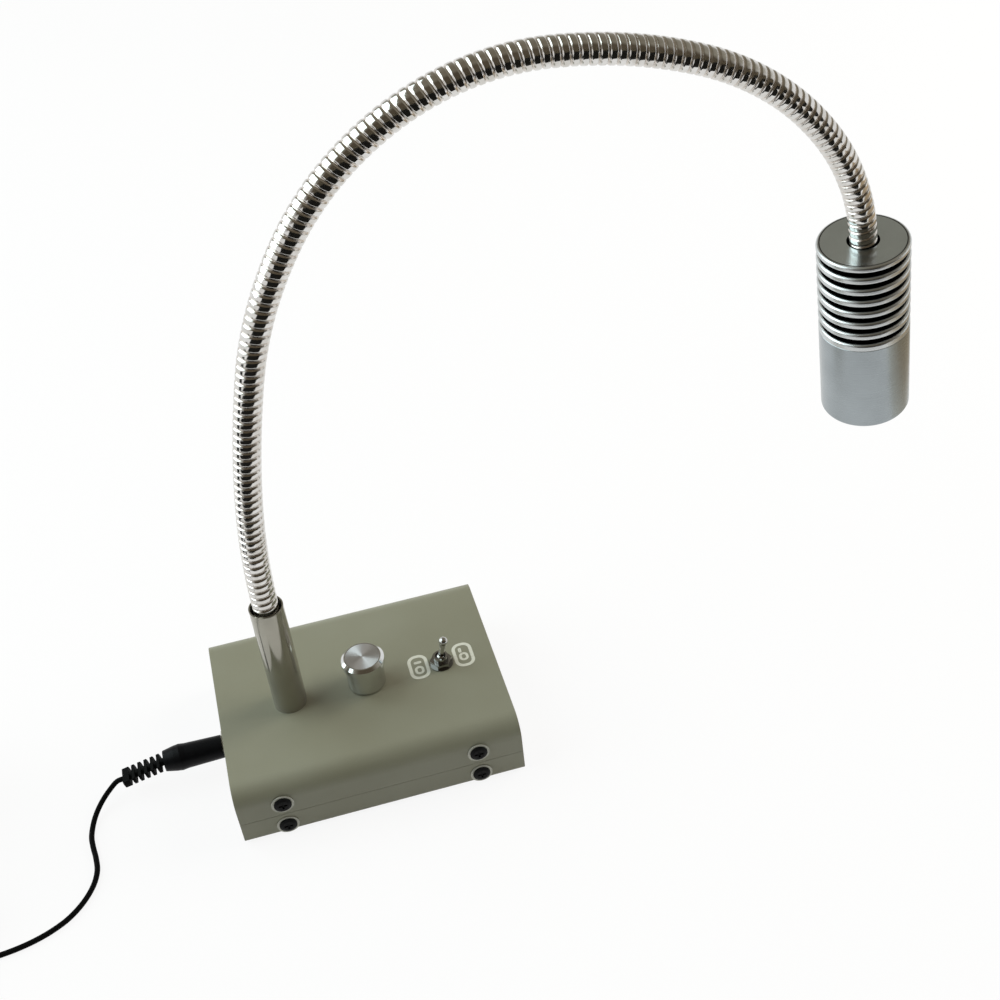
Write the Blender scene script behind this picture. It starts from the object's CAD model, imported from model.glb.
"""Looks of an LED microscope spotlight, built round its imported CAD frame.

Sizes are in millimetres, and MM turns them into Blender's metres. Floor and lamps are given in metres.
"""

import math

import bmesh
import bpy
from mathutils import Matrix, Vector


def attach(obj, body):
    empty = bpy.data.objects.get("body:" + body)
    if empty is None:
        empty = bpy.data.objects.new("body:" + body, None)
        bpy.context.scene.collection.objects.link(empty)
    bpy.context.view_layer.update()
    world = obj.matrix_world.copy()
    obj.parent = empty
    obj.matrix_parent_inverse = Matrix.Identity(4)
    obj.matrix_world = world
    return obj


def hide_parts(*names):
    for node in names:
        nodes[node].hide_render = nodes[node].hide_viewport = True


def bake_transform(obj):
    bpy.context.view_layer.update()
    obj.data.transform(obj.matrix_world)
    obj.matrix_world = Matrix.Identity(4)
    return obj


MM = 0.001

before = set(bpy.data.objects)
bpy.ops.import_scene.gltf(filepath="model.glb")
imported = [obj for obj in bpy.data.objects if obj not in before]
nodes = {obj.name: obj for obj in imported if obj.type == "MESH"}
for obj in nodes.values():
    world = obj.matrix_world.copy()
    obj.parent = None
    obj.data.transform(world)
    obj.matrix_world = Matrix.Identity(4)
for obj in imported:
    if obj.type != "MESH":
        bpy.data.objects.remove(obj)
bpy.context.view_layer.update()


# Camera, fitted to the photograph's edges
CAMERA_PLACE = (-11.70, -419.09, 463.68)
CAMERA_YAW = math.radians(10.78)
CAMERA_PITCH = math.radians(40.04)
CAMERA_ROLL = math.radians(-6.44)
CAMERA_LENS = 52.2
SENSOR_WIDTH = 36.0
CLIP_START = 10


def make_camera():
    """The scene's camera: turned to the right by the yaw, down by the pitch, then rolled."""
    yaw, pitch, roll = CAMERA_YAW, CAMERA_PITCH, CAMERA_ROLL
    forward = Vector((math.sin(yaw) * math.cos(pitch), math.cos(yaw) * math.cos(pitch), -math.sin(pitch)))
    level = Vector((math.cos(yaw), -math.sin(yaw), 0))
    upright = level.cross(forward)
    right = math.cos(roll) * level + math.sin(roll) * upright
    up = math.cos(roll) * upright - math.sin(roll) * level
    data = bpy.data.cameras.new("camera")
    data.lens = CAMERA_LENS
    data.sensor_width = SENSOR_WIDTH
    data.sensor_fit = "HORIZONTAL"
    data.clip_start = CLIP_START * MM
    camera = bpy.data.objects.new("camera", data)
    turn = Matrix((right, up, -forward)).transposed()
    camera.matrix_world = Matrix.Translation(Vector(CAMERA_PLACE) * MM) @ turn.to_4x4()
    bpy.context.scene.collection.objects.link(camera)
    bpy.context.scene.camera = camera


make_camera()


# Power cord: the route, the coil and the stretch to the adapter, as in the CAD source
CORD_D = 2.2
CORD_R = CORD_D / 2
RELIEF_ROOT = Vector((-83.5, -2, 12))
RELIEF_L = 18
RELIEF_DROOP = math.radians(13)
RELIEF_AXIS = Vector((-math.cos(RELIEF_DROOP), 0, -math.sin(RELIEF_DROOP)))
RELIEF_END = RELIEF_ROOT + RELIEF_L * RELIEF_AXIS
STRAIGHT_L = 1.5 * CORD_D
# Steps from the relief's end along X and Y, and the share of its height above the table
CORD_ROUTE = [
    (-6.5, -2, 0.68), (-10, -5, 0.42), (-13, -9, 0.18), (-15, -14, 0.04), (-16, -20, 0), (-15.6, -25.5, 0),
    (-14.8, -31, 0), (-14.6, -37.5, 0), (-16.4, -44, 0), (-20.4, -50.5, 0), (-26, -56, 0), (-32, -59.5, 0),
    (-38, -61.8, 0), (-44, -63.3, 0), (-50, -64.2, 0), (-56, -64.6, 0), (-62, -64.8, 0), (-68, -65, 0),
]
COIL_START = (-80, -65)
COIL_ANGLE = 270
COIL_TURNS = 13.25
COIL_LAYERS = 4
CLIMB_TURNS = 0.5
LAYER_TURNS = (COIL_TURNS - (COIL_LAYERS - 1) * CLIMB_TURNS) / COIL_LAYERS
COIL_STEP = CORD_D + 0.9
COIL_SPREAD = LAYER_TURNS * COIL_STEP
COIL_MID_R = 13.2
COIL_LIFT = 0.5
# Steps from the coil's end along Y and in height
ADAPTER_RUN = [(8, -0.4), (14, -1), (20, -1.6), (26, -2)]
POINTS_PER_TURN = 32
POINTS_PER_STEP = 4
CORD_ROUNDNESS = 3


def coil_points(middle):
    """The coil's centreline: in and out by layers, climbing in each half turn where it reverses."""
    points = []
    count = int(COIL_TURNS * POINTS_PER_TURN)
    for i in range(count + 1):
        turns = COIL_TURNS * i / count
        layer = min(int(turns / (LAYER_TURNS + CLIMB_TURNS)), COIL_LAYERS - 1)
        layer_part = turns - layer * (LAYER_TURNS + CLIMB_TURNS)
        share = min(layer_part / LAYER_TURNS, 1)
        climb = max(layer_part - LAYER_TURNS, 0) / CLIMB_TURNS
        out = share if layer % 2 else 1 - share
        radius = COIL_MID_R - COIL_SPREAD / 2 + out * COIL_SPREAD
        angle = math.radians(COIL_ANGLE - 360 * turns)
        height = (layer + climb) * COIL_STEP
        points.append(middle + Vector((radius * math.cos(angle), radius * math.sin(angle), height)))
    return points


def smooth_points(points):
    """Points on a smooth Catmull-Rom curve through the given ones."""
    ends = [2 * points[0] - points[1]] + points + [2 * points[-1] - points[-2]]
    out = []
    for a, b, c, d in zip(ends, ends[1:], ends[2:], ends[3:]):
        for k in range(POINTS_PER_STEP):
            t = k / POINTS_PER_STEP
            bend = (2 * a - 5 * b + 4 * c - d) * t**2 + (3 * b - a - 3 * c + d) * t**3
            out.append(0.5 * (2 * b + (c - a) * t + bend))
    return out + [points[-1]]


def cord_line():
    """Centreline of the whole cord, from the strain relief to the adapter."""
    start = RELIEF_END
    outer = COIL_MID_R + COIL_SPREAD / 2
    middle = Vector((start.x + COIL_START[0], start.y + COIL_START[1] + outer, COIL_LIFT + CORD_R))
    coil = coil_points(middle)
    drop = start.z - CORD_R
    route = [start, start + STRAIGHT_L * RELIEF_AXIS]
    route += [Vector((start.x + x, start.y + y, CORD_R + share * drop)) for x, y, share in CORD_ROUTE]
    route += [coil[0] + Vector((2 * CORD_D, 0, 0)), coil[0] + Vector((CORD_D, 0, 0)), coil[0]]
    leave = coil[-1] + Vector((0, CORD_D, 0))
    run = [coil[-1], leave, leave + Vector((0, CORD_D, 0))]
    run += [leave + Vector((0, y, z)) for y, z in ADAPTER_RUN]
    run += [run[-1] + Vector((0, CORD_D, 0))]
    line = smooth_points(route)[:-1] + coil + smooth_points(run)[1:]
    # The curve stays on the table and behind the coil's front
    return [Vector((p.x, max(p.y, coil[0].y), max(p.z, CORD_R))) for p in line]


def make_cord():
    """The cord as one round curve, whose points carry its radius, in place of three solids."""
    line = [p * MM for p in cord_line()]
    curve = bpy.data.curves.new("power_cord_line", "CURVE")
    curve.dimensions = "3D"
    curve.bevel_depth = 1.0
    curve.bevel_resolution = CORD_ROUNDNESS
    curve.use_fill_caps = True
    spline = curve.splines.new("POLY")
    spline.points.add(len(line) - 1)
    for point, place in zip(spline.points, line):
        point.co = (*place, 1)
        point.radius = CORD_R * MM
    cord = bpy.data.objects.new("power_cord_line", curve)
    bpy.context.scene.collection.objects.link(cord)
    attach(cord, "lead")
    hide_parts("power_cord", "cord_coil", "adapter_cord")
    return cord


cord = make_cord()


# Neck line, with the turn of each section as in the CAD source
NECK_TURNS = (8.5, 6.5, 19.5, 28, 32.5, 18.5, 28.5, 31.5)
SECTIONS = len(NECK_TURNS)
SECTION_L = 53
NECK_FOOT = Vector((-28, -2, 82))
HEAD_ROLL = math.radians(6)


def neck_at(distance):
    """Point on the neck's middle line, and the frame there, whose Z runs along the neck."""
    point, turn = NECK_FOOT.copy(), Matrix.Identity(3)
    if distance <= 0:
        return point + Vector((0, 0, distance)), turn
    for section, degrees in enumerate(NECK_TURNS):
        roll = HEAD_ROLL if section == SECTIONS - 1 else 0
        turn = turn @ Matrix.Rotation(roll, 3, "Z")
        step = min(distance, SECTION_L)
        radius = SECTION_L / math.radians(degrees)
        bend = step / radius
        point += turn @ Vector((radius * (1 - math.cos(bend)), 0, radius * math.sin(bend)))
        turn = turn @ Matrix.Rotation(bend, 3, "Y") @ Matrix.Rotation(-roll, 3, "Z")
        distance -= step
        if distance <= 0:
            return point, turn
    return point + turn @ Vector((0, 0, distance)), turn


# Places on the head, the knob and the case that materials and marks need, as in the CAD source
UP = Vector((0, 0, 1))
HEAD_TOP, HEAD_TURN = neck_at(SECTION_L * SECTIONS)
HEAD_AXIS = HEAD_TURN @ UP
FIN_INNER = 16.2
KNOB_MIDDLE = Vector((4, -2, 28.5))
ROOF_Z = 26.8
COVER_TOP = 28.0


# Materials; a Mix node's colour sockets go by number, because other sockets there have the same names
COLOR_A, COLOR_B, COLOR_OUT = 6, 7, 2


class Nodes:
    """A node tree, and short ways to add nodes to it."""

    def __init__(self, tree):
        self.tree = tree

    def add(self, kind, inputs=None, **settings):
        """A new node; each input is a value, or the output of another node."""
        node = self.tree.nodes.new(kind)
        for key, value in settings.items():
            setattr(node, key, value)
        for key, value in (inputs or {}).items():
            if isinstance(value, bpy.types.NodeSocket):
                self.tree.links.new(value, node.inputs[key])
            else:
                node.inputs[key].default_value = value
        return node

    def math(self, operation, a, b):
        return self.add("ShaderNodeMath", {0: a, 1: b}, operation=operation).outputs[0]

    def vector(self, operation, inputs, output="Vector"):
        return self.add("ShaderNodeVectorMath", inputs, operation=operation).outputs[output]

    def ramp(self, value, low, high, start=0.35, end=0.65):
        """Value from low to high as a texture goes from start to end."""
        ends = {"From Min": start, "From Max": end, "To Min": low, "To Max": high}
        return self.add("ShaderNodeMapRange", {"Value": value, **ends}).outputs[0]

    def mix(self, share, first, second):
        """A colour between two, each given as three numbers or as the output of a node."""
        ends = {COLOR_A: first, COLOR_B: second}
        colors = {key: (*color, 1) if isinstance(color, tuple) else color for key, color in ends.items()}
        return self.add("ShaderNodeMix", {"Factor": share, **colors}, data_type="RGBA").outputs[COLOR_OUT]


class Shader(Nodes):
    """A material with one principled shader, whose textures lie in the row frame."""

    def __init__(self, name, color, metallic=0.0, roughness=0.5, **sockets):
        self.material = bpy.data.materials.new(name)
        self.material.use_nodes = True
        super().__init__(self.material.node_tree)
        self.bsdf = self.tree.nodes["Principled BSDF"]
        values = {"Base Color": (*color, 1), "Metallic": metallic, "Roughness": roughness}
        values.update({socket.replace("_", " "): value for socket, value in sockets.items()})
        for socket, value in values.items():
            self.bsdf.inputs[socket].default_value = value
        self.place = self.add("ShaderNodeTexCoord").outputs["Object"]

    def link(self, output, socket):
        self.tree.links.new(output, self.bsdf.inputs[socket])

    def noise(self, per_metre, detail, stretch=(1, 1, 1), place=None):
        """Noise with so many grains in a metre."""
        mapped = self.add("ShaderNodeMapping", {"Vector": place or self.place, "Scale": stretch}).outputs[0]
        settings = {"Vector": mapped, "Scale": per_metre, "Detail": detail}
        return self.add("ShaderNodeTexNoise", settings).outputs[0]

    def clouds(self, per_metre, detail):
        """Soft clouds from 0 to 1."""
        return self.ramp(self.noise(per_metre, detail), 0, 1, 0.3, 0.7)

    def bump(self, height, strength, depth, normal=None):
        """A relief that is so many millimetres deep."""
        settings = {"Height": height, "Strength": strength, "Distance": depth * MM}
        node = self.add("ShaderNodeBump", settings)
        if normal:
            self.tree.links.new(normal, node.inputs["Normal"])
        self.link(node.outputs[0], "Normal")


def shade(color, share):
    """A darker or lighter colour of the same hue."""
    return tuple(min(c * share, 1) for c in color)


CLOUDS_PER_GRAIN = 0.12
TONE_SPREAD = 0.12
LEAST_ROUGHNESS = 0.02
PLAIN_DEPTH = 0.05


def plain(name, color, roughness, metallic=0.0, grain=0.4, gloss=0.5, rough_spread=0.08, bump=0.1):
    """Mottled colour, uneven gloss and a fine relief, with a grain in millimetres."""
    look = Shader(name, color, metallic=metallic, roughness=roughness, Specular_IOR_Level=gloss)
    tone = look.clouds(CLOUDS_PER_GRAIN / (grain * MM), 4)
    fine = look.noise(1 / (grain * MM), 3)
    look.link(look.mix(tone, shade(color, 1 - TONE_SPREAD), shade(color, 1 + TONE_SPREAD)), "Base Color")
    low, high = max(roughness - rough_spread, LEAST_ROUGHNESS), roughness + rough_spread
    look.link(look.ramp(fine, low, high), "Roughness")
    look.bump(fine, bump, PLAIN_DEPTH)
    return look.material


PAINT_EDGE_R = 0.35


def case_paint():
    """Satin olive-grey paint on sheet metal: faint clouds, a fine grain, and edges that catch the light."""
    look = Shader("case_paint", (0.235, 0.232, 0.170), roughness=0.46)
    grain = look.noise(1500, 2)
    base = look.mix(look.clouds(22, 4), (0.222, 0.218, 0.156), (0.246, 0.245, 0.184))
    look.link(look.mix(look.ramp(grain, 0, 0.10, 0.5, 0.75), base, (0.34, 0.34, 0.28)), "Base Color")
    look.link(look.ramp(grain, 0.40, 0.54), "Roughness")
    edge = look.add("ShaderNodeBevel", {"Radius": PAINT_EDGE_R * MM}, samples=4).outputs[0]
    look.bump(look.noise(1100, 2), 0.10, 0.08, edge)
    return look.material


def neck_metal():
    """Bright plated winding, a little dull in its grooves."""
    look = Shader("neck_metal", (0.66, 0.65, 0.63), metallic=1.0, roughness=0.1)
    groove = look.add("ShaderNodeAttribute", attribute_name="groove").outputs["Fac"]
    smear = look.noise(260, 4)
    bright = look.mix(look.ramp(smear, 0, 1, 0.35, 0.7), (0.70, 0.69, 0.67), (0.57, 0.55, 0.51))
    look.link(look.mix(look.ramp(groove, 0, 1, 0.3, 0.8), bright, (0.66, 0.61, 0.56)), "Base Color")
    dull = look.ramp(groove, 0, 0.14, 0.3, 0.8)
    look.link(look.math("ADD", look.ramp(smear, 0.07, 0.14), dull), "Roughness")
    look.bump(look.noise(2600, 2), 0.03, 0.02)
    return look.material


BRUSH_GRAIN = 0.12
BRUSH_STRETCH = (1, 1, 0.03)


def brushed(name, color, roughness, metallic):
    """Metal with fine upright lines."""
    look = Shader(name, color, metallic=metallic, roughness=roughness)
    lines = look.noise(1 / (BRUSH_GRAIN * MM), 2, BRUSH_STRETCH)
    look.link(look.mix(look.clouds(90, 3), shade(color, 0.86), color), "Base Color")
    look.link(look.ramp(lines, roughness * 0.75, roughness * 1.3), "Roughness")
    look.bump(lines, 0.05, 0.02)
    return look.material


LATHE_GRAIN = 0.16
BLACK_EDGE = 0.5
BLACKENED = (0.012, 0.012, 0.013)


def turned(name, color, roughness, middle, axis, face=False, relief=0.06, black_to=None, streaks=0.0):
    """Metal turned on a lathe: fine rings round an axis, or circles on a face square to it.

    Nearer to the axis than black_to, in millimetres, it is blackened. Streaks of light fan out on a face
    from its middle, by their share.
    """
    look = Shader(name, color, metallic=1.0, roughness=roughness, Anisotropic=streaks)
    arm = look.vector("SUBTRACT", {0: look.place, 1: tuple(middle * MM)})
    rise = look.vector("DOT_PRODUCT", {0: arm, 1: tuple(axis)}, "Value")
    foot = look.vector("SCALE", {0: tuple(axis), "Scale": rise})
    spoke = look.vector("SUBTRACT", {0: arm, 1: foot})
    reach = look.vector("LENGTH", {0: spoke}, "Value")
    track = look.add("ShaderNodeCombineXYZ", {"X": reach if face else rise}).outputs[0]
    lines = look.noise(1 / (LATHE_GRAIN * MM), 2, place=track)
    tone = look.mix(look.clouds(70, 4), shade(color, 0.88), color)
    if black_to:
        bare = look.ramp(reach, 0, 1, (black_to - BLACK_EDGE) * MM, black_to * MM)
        tone = look.mix(bare, BLACKENED, tone)
    look.link(tone, "Base Color")
    look.link(look.ramp(lines, roughness * 0.8, roughness * 1.25), "Roughness")
    if streaks:
        look.link(look.add("ShaderNodeTangent", direction_type="RADIAL", axis="Z").outputs[0], "Tangent")
    look.bump(lines, relief, 0.02)
    return look.material


PLATING_EDGE = 0.4


def switch_body():
    """Red moulding below the case's roof and a plated bushing above it."""
    look = Shader("switch_body", (0.28, 0.03, 0.02), roughness=0.4)
    height = look.add("ShaderNodeSeparateXYZ", {0: look.place}).outputs["Z"]
    plated = look.ramp(height, 0, 1, (ROOF_Z - PLATING_EDGE) * MM, ROOF_Z * MM)
    wear = look.noise(900, 3)
    red = look.mix(look.ramp(wear, 0, 1), (0.26, 0.025, 0.018), (0.32, 0.04, 0.03))
    look.link(look.mix(plated, red, (0.34, 0.34, 0.33)), "Base Color")
    look.link(plated, "Metallic")
    look.link(look.ramp(plated, 0.4, 0.12, 0, 1), "Roughness")
    look.bump(wear, 0.05, 0.03)
    return look.material


def lens_glass():
    """Clear glass, polished a little unevenly."""
    look = Shader("lens_glass", (0.95, 0.98, 1.0), roughness=0.03, Transmission_Weight=1.0, IOR=1.5)
    look.link(look.ramp(look.noise(300, 3), 0.015, 0.05), "Roughness")
    return look.material


def print_white():
    """Printed marks, a little worn through."""
    look = Shader("print_white", (0.60, 0.60, 0.53), roughness=0.6)
    wear = look.noise(900, 3)
    thin = look.ramp(wear, 0, 0.5, 0.55, 0.75)
    look.link(look.mix(thin, (0.66, 0.66, 0.58), (0.42, 0.42, 0.35)), "Base Color")
    look.link(look.ramp(wear, 0.5, 0.7), "Roughness")
    return look.material


paint = case_paint()
black_screw = plain("black_screw", (0.005, 0.005, 0.005), 0.5, grain=0.5, gloss=0.08)
dull_zinc = plain("dull_zinc", (0.36, 0.36, 0.31), 0.5, metallic=0.6, grain=0.5)
steel = plain("plain_steel", (0.5, 0.5, 0.5), 0.32, metallic=1.0, grain=0.4)
chrome = plain("chrome", (0.48, 0.48, 0.46), 0.07, metallic=1.0, grain=0.6, rough_spread=0.03, bump=0.02)
dark_chrome = plain("dark_chrome", (0.30, 0.30, 0.29), 0.12, metallic=1.0, grain=0.6, rough_spread=0.04,
                    bump=0.03)
nickel = brushed("post_nickel", (0.37, 0.355, 0.30), 0.12, metallic=0.75)
brass = plain("brass", (0.72, 0.55, 0.26), 0.3, metallic=1.0)
rubber = plain("black_rubber", (0.003, 0.003, 0.003), 0.6, grain=0.3, gloss=0.05)
black_plastic = plain("black_plastic", (0.004, 0.004, 0.005), 0.4, grain=0.25, bump=0.15, gloss=0.1)
sink_metal = turned("sink_metal", (0.63, 0.655, 0.655), 0.3, HEAD_TOP, HEAD_AXIS, black_to=FIN_INNER)
barrel_metal = turned("barrel_metal", (0.35, 0.385, 0.40), 0.24, HEAD_TOP, HEAD_AXIS)
head_face = turned("head_face", (0.58, 0.64, 0.66), 0.2, HEAD_TOP, HEAD_AXIS, face=True, relief=0.02)
knob_side = turned("knob_side", (0.70, 0.71, 0.70), 0.12, KNOB_MIDDLE, UP)
knob_face = turned("knob_face", (0.70, 0.70, 0.71), 0.46, KNOB_MIDDLE, UP, face=True, relief=0.1,
                   streaks=0.85)
neck_plating = neck_metal()
white_print = print_white()

FINISH = {
    paint: ["base_tray", "top_cover", "left_end_plate", "right_end_plate"],
    black_screw: ["case_screws", "post_grub_screw", "head_grub_screw", "knob_grub_screw"],
    dull_zinc: ["case_washers"],
    steel: ["ballast_plate", "ballast_screws", "board_screws", "post_nut", "led_screws"],
    chrome: ["toggle_lever"],
    dark_chrome: ["toggle_washer", "toggle_nut"],
    nickel: ["post_tube", "dc_jack_nut", "potentiometer", "pot_nut", "plug_sleeve", "pot_shaft"],
    brass: ["board_standoffs", "neck_ferrule", "adapter_pins"],
    rubber: ["base_pad", "strain_relief", "adapter_relief"],
    black_plastic: ["dc_jack", "dc_plug", "driver_coil", "driver_chip", "lens_ring", "cord_tie",
                    "adapter_body"],
    sink_metal: ["heat_sink"],
    barrel_metal: ["lamp_barrel", "lens_spacer"],
    head_face: ["head_cap"],
    knob_side: ["knob"],
    knob_face: ["knob_cap"],
    plain("board_green", (0.02, 0.13, 0.05), 0.4, grain=0.8): ["driver_board"],
    plain("board_white", (0.75, 0.75, 0.72), 0.45, grain=0.8): ["led_board"],
    switch_body(): ["toggle_body"],
    plain("blue_sleeve", (0.02, 0.04, 0.12), 0.3): ["driver_capacitor"],
    plain("red_lead", (0.45, 0.04, 0.03), 0.5): ["lamp_lead"],
    plain("phosphor", (0.9, 0.78, 0.3), 0.3): ["led_emitter"],
    lens_glass(): ["lens"],
}

for material, names in FINISH.items():
    for name in names:
        nodes[name].data.materials.clear()
        nodes[name].data.materials.append(material)
cord.data.materials.append(rubber)


# Pieces
def mesh_piece(name, build, material, smooth=True):
    """A mesh object made by a function that fills a bmesh in millimetres."""
    mesh = bpy.data.meshes.new(name)
    shape = bmesh.new()
    build(shape)
    bmesh.ops.scale(shape, vec=(MM, MM, MM), verts=shape.verts)
    shape.to_mesh(mesh)
    shape.free()
    mesh.materials.append(material)
    mesh.polygons.foreach_set("use_smooth", [smooth] * len(mesh.polygons))
    piece = bpy.data.objects.new(name, mesh)
    bpy.context.scene.collection.objects.link(piece)
    return piece


def add_strips(shape, rows, closed=False):
    """Faces between neighbouring rows of points, which run round and close or stay open."""
    for low, high in zip(rows, rows[1:]):
        rungs = list(zip(low, high))
        if closed:
            rungs.append(rungs[0])
        for (a, d), (b, c) in zip(rungs, rungs[1:]):
            shape.faces.new((a, b, c, d))


# Wound skin of the neck, in ribs that climb one pitch in each turn
NECK_D = 10.2
RIBS = 17
RIB_PITCH = SECTION_L / RIBS
SIDES = 32
SEAM_REACH = 0.0005
# Depth of a groove, its share of the pitch and the rows of points across it
GROOVE_DEPTH = 0.5
GROOVE_SHARE = 0.5
GROOVE_ROWS = 8
# Crown of the crest, as a share of the groove's depth
CROWN = 0.05
# A row just inside the crest's edge: its distance in pitches, and its share of the crown's drop
CREST_EDGE = 0.03
CREST_DROP = 0.8
# Ribs hidden in the post, and in the head, where the winding adds one more
POST_DIP = 7
HEAD_DIP = 1


def rib_profile():
    """Rows across one pitch, as places in it and heights from 0 in the groove to 1 on the crest."""
    rows = []
    for k in range(GROOVE_ROWS // 2 + 1):
        rise = (1 - math.cos(2 * math.pi * k / GROOVE_ROWS)) / 2
        rows.append((GROOVE_SHARE * k / GROOVE_ROWS, (1 - CROWN) * rise))
    rows.append((GROOVE_SHARE / 2 + CREST_EDGE, 1 - CROWN * CREST_DROP))
    return rows + [(0.5, 1.0)] + [(1 - place, height) for place, height in reversed(rows[1:])]


def neck_piece(name, first, last):
    """One stretch of the wound neck between two whole ribs: rows of points that follow the winding."""
    rows = [(rib + place, height) for rib in range(first, last) for place, height in rib_profile()]
    rows.append((last, 0.0))

    def build(shape):
        groove = shape.verts.layers.float.new("groove")
        grid = []
        for place, height in rows:
            radius = NECK_D / 2 - GROOVE_DEPTH * (1 - height)
            line = []
            for side in range(SIDES + 1):
                middle, turn = neck_at((place + side / SIDES) * RIB_PITCH)
                angle = 2 * math.pi * side / SIDES
                spoke = Vector((radius * math.cos(angle), radius * math.sin(angle), 0))
                vert = shape.verts.new(middle + turn @ spoke)
                vert[groove] = 1 - height
                line.append(vert)
            grid.append(line)
        add_strips(shape, grid)
        bmesh.ops.remove_doubles(shape, verts=shape.verts, dist=SEAM_REACH)
    piece = mesh_piece(name, build, neck_plating)
    return piece


def make_neck():
    """The neck in stretches from mid-section to mid-section, each bent at the joint between them."""
    mid_ribs = [RIBS // 2 + RIBS * i for i in range(SECTIONS)]
    cuts = [-POST_DIP] + mid_ribs + [RIBS * SECTIONS + HEAD_DIP]
    for i, (first, last) in enumerate(zip(cuts, cuts[1:])):
        piece = neck_piece("neck_skin_%d" % i, first, last)
        if i == 0:
            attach(piece, "base")
            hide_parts("neck_root")
        elif i == SECTIONS:
            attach(piece, "head")
            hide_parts("neck_link_7")
        else:
            middle, turn = neck_at(SECTION_L * i)
            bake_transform(piece)
            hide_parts("neck_link_%d" % i)


make_neck()


# Printed marks beside the switch; each outline has a size, a corner radius and a line's width
MARK_FIELD = ((8.4, 13.6), 3.7, 1.4)
MARK_RING = ((3.9, 4.6), 1.9, 1.1)
MARK_LYING_BAR = ((3.2, 1.3), 0.55, 0.6)
MARK_STANDING_BAR = ((1.3, 2.6), 0.6, 0.6)
MARK_OFF_MIDDLE = (26.0, -1.2)
MARK_ON_MIDDLE = (45.2, -0.4)
MARK_RELIEF = 0.04
LEAST_CORNER_R = 0.05
ARC_STEPS = 8


def rounded_loop(middle, width, length, radius):
    """Points round a rounded rectangle."""
    points = []
    for corner, (sx, sy) in enumerate(((1, 1), (-1, 1), (-1, -1), (1, -1))):
        for k in range(ARC_STEPS + 1):
            angle = math.pi / 2 * (corner + k / ARC_STEPS)
            points.append((middle[0] + sx * (width / 2 - radius) + radius * math.cos(angle),
                           middle[1] + sy * (length / 2 - radius) + radius * math.sin(angle)))
    return points


def add_outline(shape, middle, size, radius, line):
    """A raised line round a rounded rectangle on the case's top."""
    loops = []
    for shrink, rise in ((0, 0), (0, MARK_RELIEF), (line, MARK_RELIEF), (line, 0)):
        corner_r = max(radius - shrink, LEAST_CORNER_R)
        points = rounded_loop(middle, size[0] - 2 * shrink, size[1] - 2 * shrink, corner_r)
        loops.append([shape.verts.new((x, y, COVER_TOP + rise)) for x, y in points])
    add_strips(shape, loops, closed=True)


def make_mark(name, middle, inner):
    """An outlined field with smaller outlines in it, each given with its step from the middle."""
    def build(shape):
        for (x, y), outline in [((0, 0), MARK_FIELD)] + inner:
            add_outline(shape, (middle[0] + x, middle[1] + y), *outline)
    piece = mesh_piece(name, build, white_print, smooth=False)
    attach(piece, "base")


make_mark("mark_off", MARK_OFF_MIDDLE, [((0, 2.6), MARK_LYING_BAR), ((0, -1.8), MARK_RING)])
make_mark("mark_on", MARK_ON_MIDDLE, [((0, -1.1), MARK_RING), ((-0.9, 2.8), MARK_STANDING_BAR)])


# Table and room; the sky has colours at heights from the horizon at 0 to straight above at 1
WHITE = (0.86, 0.86, 0.86)
FLOOR_SIZE = 30
FLOOR_DROP = 0.0002
FLOOR_GLOW = 0.9
SKY = ((0.25, (0.95, 0.95, 0.95)), (0.48, (0.34, 0.32, 0.27)), (1.0, (0.20, 0.175, 0.13)))
# The sky above the viewer, and the ranges of a direction's Y and Z over which it begins
VIEWER_SKY = (0.10, 0.08, 0.055)
VIEWER_SIDE = (-0.3, -0.62)
VIEWER_RISE = (0.16, 0.22)


def make_floor():
    """A white table. Camera, mirrors and glass see most of it as plain white, and its shadows faintly."""
    bpy.ops.mesh.primitive_plane_add(size=FLOOR_SIZE, location=(0, 0, -FLOOR_DROP))
    floor = bpy.context.object
    floor.name = "floor"
    look = Shader("floor_white", WHITE, roughness=0.9)
    path = look.add("ShaderNodeLightPath").outputs
    seen = look.math("MAXIMUM", path["Is Camera Ray"], path["Is Glossy Ray"])
    seen = look.math("MAXIMUM", seen, path["Is Transmission Ray"])
    glow = look.add("ShaderNodeEmission", {"Color": (1, 1, 1, 1), "Strength": 1.0}).outputs[0]
    share = look.math("MULTIPLY", seen, FLOOR_GLOW)
    both = look.add("ShaderNodeMixShader", {0: share, 1: look.bsdf.outputs[0], 2: glow}).outputs[0]
    look.tree.links.new(both, look.tree.nodes["Material Output"].inputs["Surface"])
    floor.data.materials.append(look.material)


def make_world():
    """A plain room: pale round the horizon, dimmer and warmer overhead and above the viewer."""
    world = bpy.data.worlds.new("room")
    bpy.context.scene.world = world
    world.use_nodes = True
    room = Nodes(world.node_tree)
    place = room.add("ShaderNodeTexCoord").outputs["Generated"]
    way = room.add("ShaderNodeSeparateXYZ", {0: place}).outputs
    sky = room.add("ShaderNodeValToRGB", {0: way["Z"]})
    stops = sky.color_ramp.elements
    stops.new(SKY[1][0])
    for stop, (height, tone) in zip(stops, SKY):
        stop.position = height
        stop.color = (*tone, 1)
    side = room.ramp(way["Y"], 0, 1, *VIEWER_SIDE)
    rise = room.ramp(way["Z"], 0, 1, *VIEWER_RISE)
    color = room.mix(room.math("MULTIPLY", side, rise), sky.outputs[0], VIEWER_SKY)
    room.tree.links.new(color, room.tree.nodes["Background"].inputs["Color"])


make_floor()
make_world()


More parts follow.
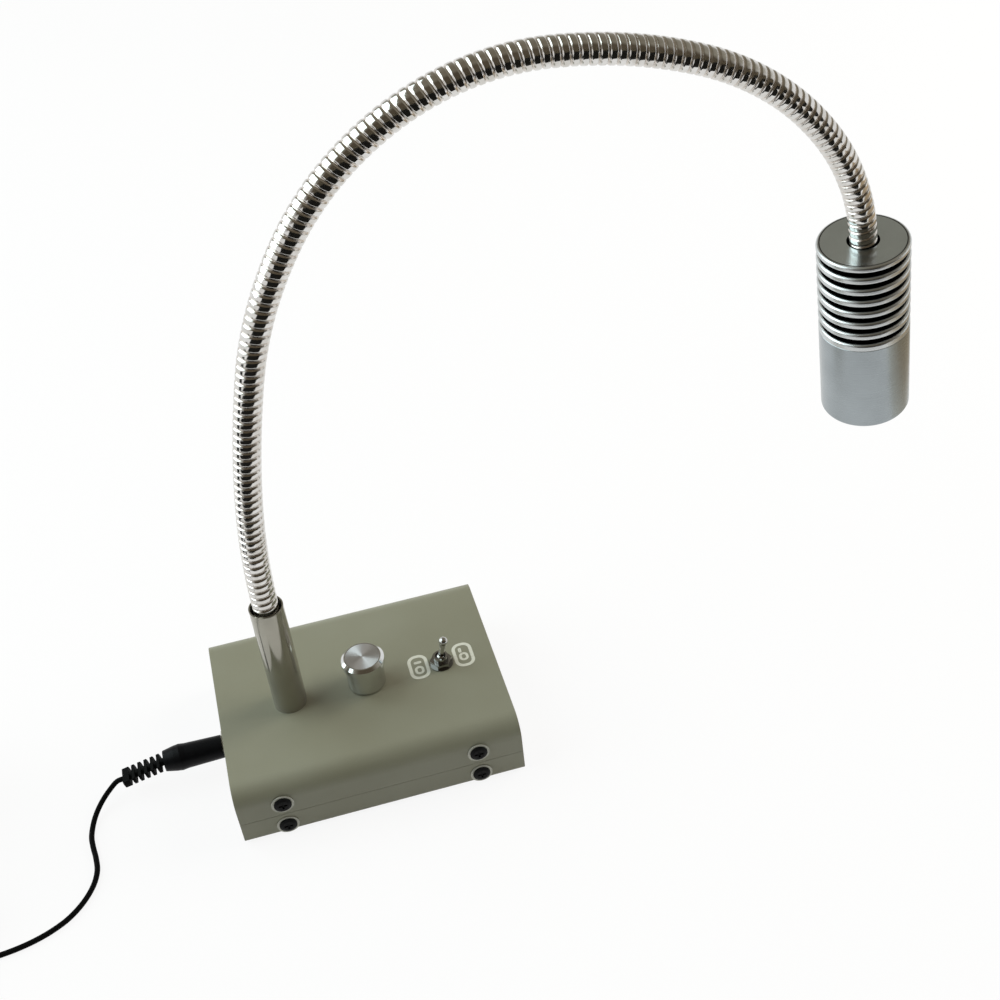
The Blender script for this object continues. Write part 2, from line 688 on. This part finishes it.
# Cards outside the picture that stand in for the room, each between two rows of points
CARD_Z = 2
BLACK_TOP_Z = 390
BROWN_TOP_Z = 800
FRONT_FAR = ((-1100, -1300), (-400, -1300), (300, -1300), (1000, -1300))
FRONT_NEAR = ((-360, -150), (-155, -115), (190, -215), (330, -230))
BEHIND = FRONT_FAR + ((1700, -700),)
LEFT_FRONT = ((-250, -60), (-800, -290))
LEFT_REAR = ((-250, 20), (-800, 0))
RIGHT_NEAR = ((330, -225), (340, -45), (385, 140))
RIGHT_FAR = ((1000, -600), (1000, 0), (1000, 300))
# The graded card's outer colour, and the stretch of X over which it begins, in metres
BROWN = (0.36, 0.29, 0.21)
BROWN_START = (0.32, 0.43)


def graded_card():
    """White next to the picture, brown further out."""
    look = Shader("card_graded", BROWN, roughness=0.9, Specular_IOR_Level=0.1)
    out = look.add("ShaderNodeSeparateXYZ", {0: look.place}).outputs["X"]
    uneven = look.math("ADD", out, look.ramp(look.noise(20, 3), -0.01, 0.01))
    look.link(look.mix(look.ramp(uneven, 0, 1, *BROWN_START), WHITE, BROWN), "Base Color")
    return look.material


def make_card(name, material, first, second, first_z=CARD_Z, second_z=CARD_Z):
    """A card for the bright metal to mirror. The camera doesn't see it, and it casts no shadow."""
    def build(shape):
        rows = ((first, first_z), (second, second_z))
        add_strips(shape, [[shape.verts.new((x, y, z)) for x, y in row] for row, z in rows])
    card = mesh_piece(name, build, material)
    card.visible_camera = False
    card.visible_shadow = False


card_black = plain("card_black", (0.012, 0.011, 0.010), 0.9, grain=2, gloss=0.1)
card_brown = plain("card_brown", (0.08, 0.065, 0.045), 0.9, grain=2, gloss=0.1)
make_card("card_front", card_black, FRONT_FAR, FRONT_NEAR)
make_card("card_behind", card_black, BEHIND, BEHIND, second_z=BLACK_TOP_Z)
make_card("card_above", card_brown, BEHIND, BEHIND, first_z=BLACK_TOP_Z, second_z=BROWN_TOP_Z)
make_card("card_left", card_black, LEFT_FRONT, LEFT_REAR)
make_card("card_right", graded_card(), RIGHT_NEAR, RIGHT_FAR)


# Lamps, in metres; a small one gives the glints of the far window, which the metal doesn't mirror
COOL = (0.82, 0.965, 1.0)
WARM = (1.0, 0.95, 0.86)
WINDOW_PLACE, WINDOW_AIM = (-1.15, 0.35, 0.95), (0.0, 0.0, 0.1)
FAR_PLACE, FAR_AIM = (1.5, 0.2, 0.9), (0.05, 0.0, 0.1)


def make_lamp(name, place, aim, size, power, color, mirrored=True):
    """A square lamp that shines from its place at its aim."""
    data = bpy.data.lights.new(name, "AREA")
    data.size = size
    data.energy = power
    data.color = color
    lamp = bpy.data.objects.new(name, data)
    lamp.location = place
    lamp.visible_glossy = mirrored
    lamp.rotation_euler = (Vector(aim) - Vector(place)).to_track_quat("-Z", "Y").to_euler()
    bpy.context.scene.collection.objects.link(lamp)


make_lamp("window", WINDOW_PLACE, WINDOW_AIM, size=1.8, power=26, color=COOL)
make_lamp("far_window", FAR_PLACE, FAR_AIM, size=1.1, power=21, color=WARM, mirrored=False)
make_lamp("glint", FAR_PLACE, FAR_AIM, size=0.4, power=2.5, color=WARM)
bpy.context.scene.view_settings.view_transform = "Standard"
